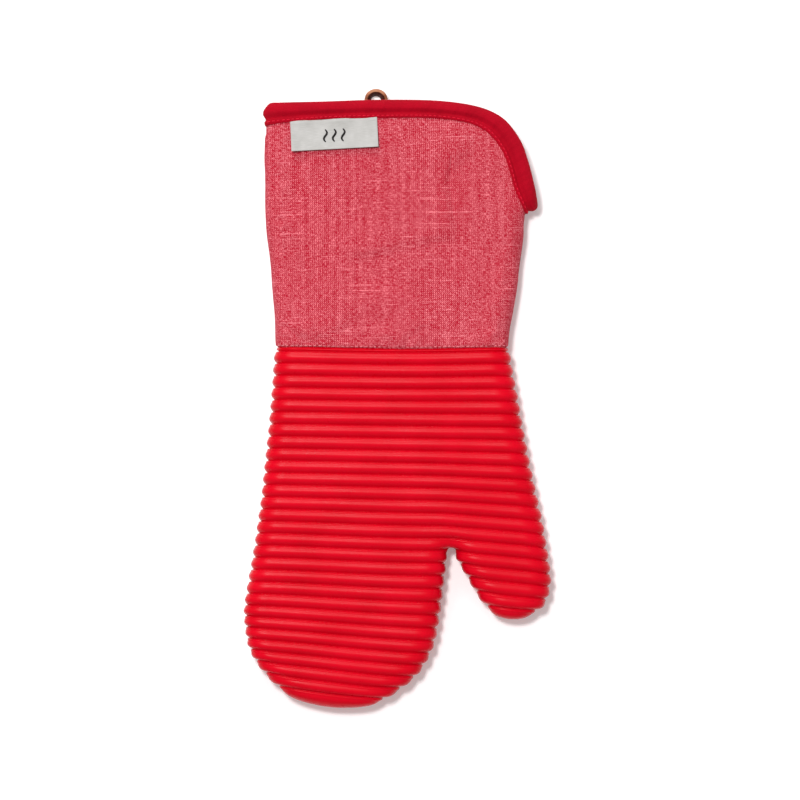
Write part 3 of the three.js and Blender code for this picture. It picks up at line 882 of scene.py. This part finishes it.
def tape_point(s, t, side, inset):
    """A point on the binding: s runs along the mouth, and t from its fold to its hem, both 0 to 1."""
    edge = even(spline(TAPE_EDGE, 10), TAPE_CURVE_POINTS)
    hem = even(spline(TAPE_HEM, 10), TAPE_CURVE_POINTS)
    at = np.linspace(0, 1, TAPE_CURVE_POINTS)
    outer = np.stack([np.interp(s, at, edge[:, k]) for k in (0, 1)], -1)
    inner = np.stack([np.interp(s, at, hem[:, k]) for k in (0, 1)], -1)
    plan = outer + (inner - outer) * np.asarray(t)[..., None]
    return skin(plan[..., 0], plan[..., 1], side, inset)


def tape_section():
    """The tape's section from its front hem, over the round fold, to its inner hem, as t and inset."""
    turn = np.linspace(-math.pi / 2, math.pi / 2, 13)
    fold_t = FOLD_T * (1 - np.cos(turn))
    fold_inset = TAPE_MIDDLE + (TAPE_INNER - TAPE_OUTER) / 2 * np.sin(turn)
    leg_t = np.concatenate([np.linspace(1, 0.6, 20), [0.55, 0.5, 0.46]])
    valley = leg_step(leg_t, *TAPE_HOLLOW) - leg_step(leg_t, *TAPE_RETURN)
    outer_leg = TAPE_OUTER + valley + leg_step(leg_t, *TAPE_HEM_ROUND)
    inner_leg = (TAPE_INNER - 0.5 * valley)[::-1]
    t = np.concatenate([leg_t, fold_t, leg_t[::-1], [1.0]])
    return t, np.concatenate([outer_leg, fold_inset, inner_leg, [0.4]])


def binding():
    """Twill tape folded over the mouth: a ring whose section is two legs and a round fold."""
    t, section = tape_section()
    s = np.linspace(0, 1, TAPE_POINTS)[:, None]
    pucker = 0.05 * np.sin(s * 330 + 2 * np.sin(s * 40)) + 0.07 * np.sin(s * 143 + 1.3)
    outside = smooth(t / 0.2) * smooth((1 - t) / 0.15) * (section < TAPE_MIDDLE)
    crown = ROLL * np.exp(-(((t - 0.35) / 0.25) ** 2))
    sides = []
    for side in (1, -1):
        inset = section[None] - (pucker + crown) * outside * (side > 0)
        sides.append(tape_point(*np.broadcast_arrays(s, t), side, inset))
    ring = np.concatenate([sides[0], sides[1][::-1]])
    points = ring.reshape(-1, 3)
    along = np.concatenate([s[:, 0], 2 - s[::-1, 0]]) * TAPE_LENGTH
    run = np.hypot(np.diff(t) * TAPE_WIDTH, np.diff(section))
    across = np.cumsum(np.concatenate([[0], run])) * MM
    uv = np.stack(np.meshgrid(along, across, indexing="ij"), -1).reshape(-1, 2)
    faces = grid_faces(*ring.shape[:2], closed=True)
    last = (len(ring) - 1) * ring.shape[1]
    j = np.arange(ring.shape[1])
    k = (j + 1) % ring.shape[1]
    faces = np.vstack([faces, np.stack([last + j, j, k, last + k], 1)])
    points, faces, uv = merge(points, faces, uv)
    tape = make_mesh("binding_tape_folded", points, faces, TAPE, uv)
    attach(tape, "cuff")
    finish_piece(tape, "tape", "binding_tape")


binding()

# ---------------------------------------------------------------- stitches

STITCH_PITCH = 2.5
STITCH_LENGTH = 1.75
BINDING_THREAD_RADIUS = 0.27
HEM_THREAD_RADIUS = 0.25
STITCH_LIFT = np.array([-0.3, -0.02, 0.12, 0.16, 0.12, -0.02, -0.3])  # along one stitch
STITCH_TAPER = np.array([0.45, 0.85, 1, 1, 1, 0.85, 0.45])


def stitch_row(name, place, length, material, radius, body, node):
    """Single stitches along place(shares), each a short thread that dips at both ends."""
    parts = []
    step = STITCH_PITCH / length
    for i in range(int(length / STITCH_PITCH)):
        start = (i + 0.5) * step
        drawn = STITCH_LENGTH * (1 + 0.12 * math.sin(i * 2.3) + 0.08 * math.sin(i * 5.1))
        share = np.linspace(start, start + drawn / length, len(STITCH_LIFT))
        parts.append(tube(place(share, STITCH_LIFT), radius * STITCH_TAPER, 6))
    points, faces = join(parts)
    row = make_mesh(name, points, faces, material)
    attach(row, body)
    finish_piece(row, "thread", node)


def binding_stitches():
    """One row through the tape, front and back, beside its hem."""
    length = np.linalg.norm(np.diff(spline(TAPE_HEM, 10), axis=0), axis=1).sum()
    for side, word in ((1, "front"), (-1, "back")):
        def place(share, lift, side=side):
            return tape_point(share, np.full(len(share), STITCH_T), side, TAPE_OUTER + 0.38 - lift)
        name = f"binding_stitches_{word}"
        stitch_row(
            name, place, length * 0.985, TAPE_THREAD, BINDING_THREAD_RADIUS, "cuff", "binding_stitching"
        )


def hem_stitches():
    """One row where the silicone's rim is sewn to the cloth, front and back."""
    near, _, _ = side_tables(FINGER_OUTLINE)
    _, right_side, _ = side_tables(THUMB_OUTLINE)
    row = np.array([RIM_ROW - 0.08])
    left, right = at_rows(near, row)[0], at_rows(right_side, row)[0]
    length = right[0] - left[0]
    for side, word in ((1, "front"), (-1, "back")):
        def place(share, lift, side=side):
            x = left[0] + length * np.clip(share, 0, 1)
            return skin(x, hem_y(x) + 0.35, side, 0.5 - lift)
        name = f"hem_stitches_{word}"
        stitch_row(name, place, length, HEM_THREAD, HEM_THREAD_RADIUS, "palm", "hem_stitching")


binding_stitches()
hem_stitches()

# ---------------------------------------------------------------- padding and lining

PADDING_ROWS = np.concatenate([np.linspace(-24, -0.5, 60), np.linspace(0, 28.5, 70)])
PADDING_COLUMNS = {"A": 48, "B": 26}
QUILT_PITCH = 19
QUILT_DEPTH = 0.5


def quilt_dimples(x, y):
    """The lining is held to the wadding in small diamonds."""
    a = np.sin((x + y) * math.pi / QUILT_PITCH)
    b = np.sin((x - y) * math.pi / QUILT_PITCH)
    return QUILT_DEPTH * (1 - np.minimum(np.abs(a), np.abs(b)) ** 0.5)


def padding_layer(name, edges, material, slot_name, nodes, dimples):
    """One soft layer in three pieces, cuff, hand and thumb."""
    zones = (
        ("cuff", "cuff", WRIST, ("A", "B"), lambda rows: rows <= 0),
        ("hand", "fingers", KNUCKLE, ("A",), lambda rows: rows >= -0.5),
        ("thumb", "thumb", THUMB_FOLD, ("B",), lambda rows: rows >= -0.5),
    )
    for zone, body, joint, panels, wanted in zones:
        parts = []
        for panel in panels:
            rows = np.sort(np.append(PADDING_ROWS, CROTCH_ROW))
            make_grid = cuff_grid if zone == "cuff" else panel_grid
            x, y = make_grid(panel, rows[wanted(rows)], PADDING_COLUMNS[panel])[:2]
            for side in (1, -1):
                inner = ramp(y, *LAYERS_CHANGE, *edges["inner"]) - (quilt_dimples(x, y) if dimples else 0)
                faces = grid_faces(*x.shape, flip=side > 0)
                if zone == "cuff":
                    faces = cut_at_mouth(x, y, faces)
                parts.append((skin(x, y, side, inner).reshape(-1, 3), faces))
        points, faces = merge(*join(parts))
        piece = make_mesh(f"{name}_{zone}", points, faces, material)
        thicken(piece, edges["inner"][1] - edges["outer"][1])
        bend(piece)
        finish_piece(piece, slot_name, *nodes)


padding_layer("wadding", WADDING, FELT, "wadding", ("wadding_front", "wadding_back"), False)
padding_layer("lining", LINING, COTTON, "lining", ("lining_front", "lining_back"), True)

# ---------------------------------------------------------------- label

LABEL_WIDTH = 47.0
LABEL_DROP = 15.2
LABEL_PLACE = (-34.6, 149.5)
LABEL_TUCK = 1.3  # how far its sewn edge reaches under the binding
LABEL_TILT = math.radians(3.0)
LABEL_LIFT = 0.75
LABEL_CURL = {"everywhere": 3.2, "right": 0.9, "left": 0.3}  # of its free edge and of two corners
MOTIF_PITCH = 4.8


def label_point(u, v):
    """A point of the label: u across it and v down from its sewn edge, in millimetres."""
    x = LABEL_PLACE[0] + u * math.cos(LABEL_TILT) + v * math.sin(LABEL_TILT)
    y = LABEL_PLACE[1] + u * math.sin(LABEL_TILT) - v * math.cos(LABEL_TILT)
    base = 2 * CUFF_HALF + CUFF_LIFT
    share = np.maximum(v, 0) / LABEL_DROP
    curl = LABEL_CURL["everywhere"] * share**1.4 + LABEL_CURL["right"] * share * rise(u, 8, 16)
    curl = curl + LABEL_CURL["left"] * share * rise(-u, 16, 8)
    wave = 0.25 * np.sin(u / 3.4 + 0.6) * np.exp(-np.maximum(v, 0) / 5)
    tuck = 0.45 * np.minimum(v, 0) / LABEL_TUCK
    return np.stack([x, y, base + LABEL_LIFT + tuck + curl + wave], -1)


def woven_label():
    """The satin flap, sewn under the binding at its upper edge."""
    u = np.linspace(-LABEL_WIDTH / 2, LABEL_WIDTH / 2, 64)
    u, v = np.meshgrid(u, np.linspace(-LABEL_TUCK, LABEL_DROP, 26))
    points = label_point(u, v)
    uv = np.stack([u, v], -1).reshape(-1, 2) * MM
    label = make_mesh("woven_label_satin", points.reshape(-1, 3), grid_faces(*u.shape), SATIN, uv)
    thicken(label, 0.5)
    round_edges(label, 0.1, 2)
    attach(label, "label")
    finish_piece(label, "label", "woven_label")


def label_motif():
    """A generic woven motif: three rising wisps of steam."""
    parts = []
    t = np.linspace(0, 1, 30)
    for centre in (-MOTIF_PITCH, 0, MOTIF_PITCH):
        u = centre + 0.9 * np.sin(t * 2 * math.pi)
        v = 4.4 + 6.8 * t
        path = label_point(u, v) + [0, 0, 0.05]
        parts.append(tube(path, 0.6 * np.sin(np.pi * (0.08 + 0.84 * t)) ** 0.5, 8))
    points, faces = join(parts)
    motif = make_mesh("label_motif", points, faces, INK)
    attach(motif, "label")


woven_label()
label_motif()

# ---------------------------------------------------------------- hanging loop

LOOP_X = -11.7
LOOP_Y = 161.3
LOOP_RADIUS = {"upper": 6.4, "lower": 4.3}
LOOP_THICKNESS = 1.7
LOOP_Z = {"upper": 11.4, "lower": 3.8}
LOOP_MIDDLE_Z = 7.5
LOOP_FLARE = 0.35  # share of its full breadth that the strip has at its feet


def hang_loop():
    """A leather strip on its edge, bent into an arch and flared upwards: tan cut edges, and faces painted
    dark as shade.
    """
    turn = np.linspace(0, math.pi, 40)
    corners = (("upper", 0), ("lower", 0), ("lower", LOOP_THICKNESS), ("upper", LOOP_THICKNESS))
    foot = smooth(np.sin(turn) / 0.7)
    profile = []
    for edge, inwards in corners:
        radius = LOOP_RADIUS[edge] - inwards
        z = LOOP_MIDDLE_Z + (LOOP_Z[edge] - LOOP_MIDDLE_Z) * (LOOP_FLARE + (1 - LOOP_FLARE) * foot)
        x = LOOP_X + radius * np.cos(turn)
        y = LOOP_Y + 0.2 + (radius - 0.3) * np.sin(turn)
        profile.append(np.stack([x, y, z], -1))
    points = np.stack(profile, 1)
    faces = grid_faces(len(turn), 4, closed=True)
    ends = [[3, 2, 1, 0], [len(turn) * 4 - 4 + k for k in range(4)]]
    strip = make_mesh("leather_loop", points.reshape(-1, 3), [*faces.tolist(), *ends], LEATHER_FACE_PAINTED_SHADE)
    strip.data.materials.append(LEATHER_EDGE)
    # Sideways faces keep the dark colour, which is painted shade; faces that look up or down get the tan
    # cut-edge colour
    for polygon in strip.data.polygons:
        if abs(polygon.normal.z) > 0.6:
            polygon.material_index = 1
    round_edges(strip, 0.25, 3)
    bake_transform(strip)
    finish_piece(strip, "leather", "hang_loop")


def loop_tails():
    """The tails inside the mouth keep the CAD model's shape, in the strip's dark face colour, which is
    painted shade.
    """
    for tail in ("hang_loop_tail_left", "hang_loop_tail_right"):
        materials = frame["nodes"][tail].data.materials
        materials.clear()
        materials.append(LEATHER_FACE_PAINTED_SHADE)


hang_loop()
loop_tails()

# ---------------------------------------------------------------- floor, light and camera

CAMERA_HEIGHT = 2.6
FRAME_WIDTH = 0.4357
FRAMING = (0.0014, -0.0015)
SENSOR_WIDTH = 36
SKY_STRENGTH = 0.41
FLOOR_SIZE = 6
FLOOR_Z = -0.0002  # just below the mitt


def stage():
    bpy.ops.mesh.primitive_plane_add(size=FLOOR_SIZE, location=(0, 0, FLOOR_Z))
    floor = bpy.context.object
    floor.name = "floor"
    floor.data.materials.append(floor_material())


def area_light(name, place, size, power, diffuse=True, glossy=True):
    """A square light that looks at the origin. It can be kept from diffuse or from glossy light."""
    light = bpy.data.lights.new(name, "AREA")
    light.size = size
    light.energy = power
    lamp = bpy.data.objects.new(name, light)
    lamp.location = place
    lamp.visible_diffuse = diffuse
    lamp.visible_glossy = glossy
    lamp.rotation_euler = (-Vector(place)).to_track_quat("-Z", "Y").to_euler()
    bpy.context.scene.collection.objects.link(lamp)


def camera():
    """It looks straight down on the middle of the mitt."""
    data = bpy.data.cameras.new("camera")
    data.sensor_width = SENSOR_WIDTH
    data.lens = SENSOR_WIDTH * CAMERA_HEIGHT / FRAME_WIDTH
    data.clip_end = 20
    view = bpy.data.objects.new("camera", data)
    middle = (CAD_BOX[0] + CAD_BOX[1]) / 2
    view.location = (middle.x + FRAMING[0], middle.y + FRAMING[1], CAMERA_HEIGHT)
    bpy.context.scene.collection.objects.link(view)
    bpy.context.scene.camera = view


def world():
    sky = bpy.data.worlds.new("studio")
    sky.use_nodes = True
    background = sky.node_tree.nodes["Background"].inputs
    background["Color"].default_value = (1, 1, 1, 1)
    background["Strength"].default_value = SKY_STRENGTH
    bpy.context.scene.world = sky


stage()
area_light("key", (-0.45, 1.5, 1.1), 0.7, 13)
area_light("top", (-0.36, 0.46, 2.25), 0.3, 37, glossy=False)
area_light("gloss", (-0.3, 1.2, 1.9), 0.6, 26, diffuse=False)
camera()
world()
bpy.context.scene.view_settings.view_transform = "Standard"
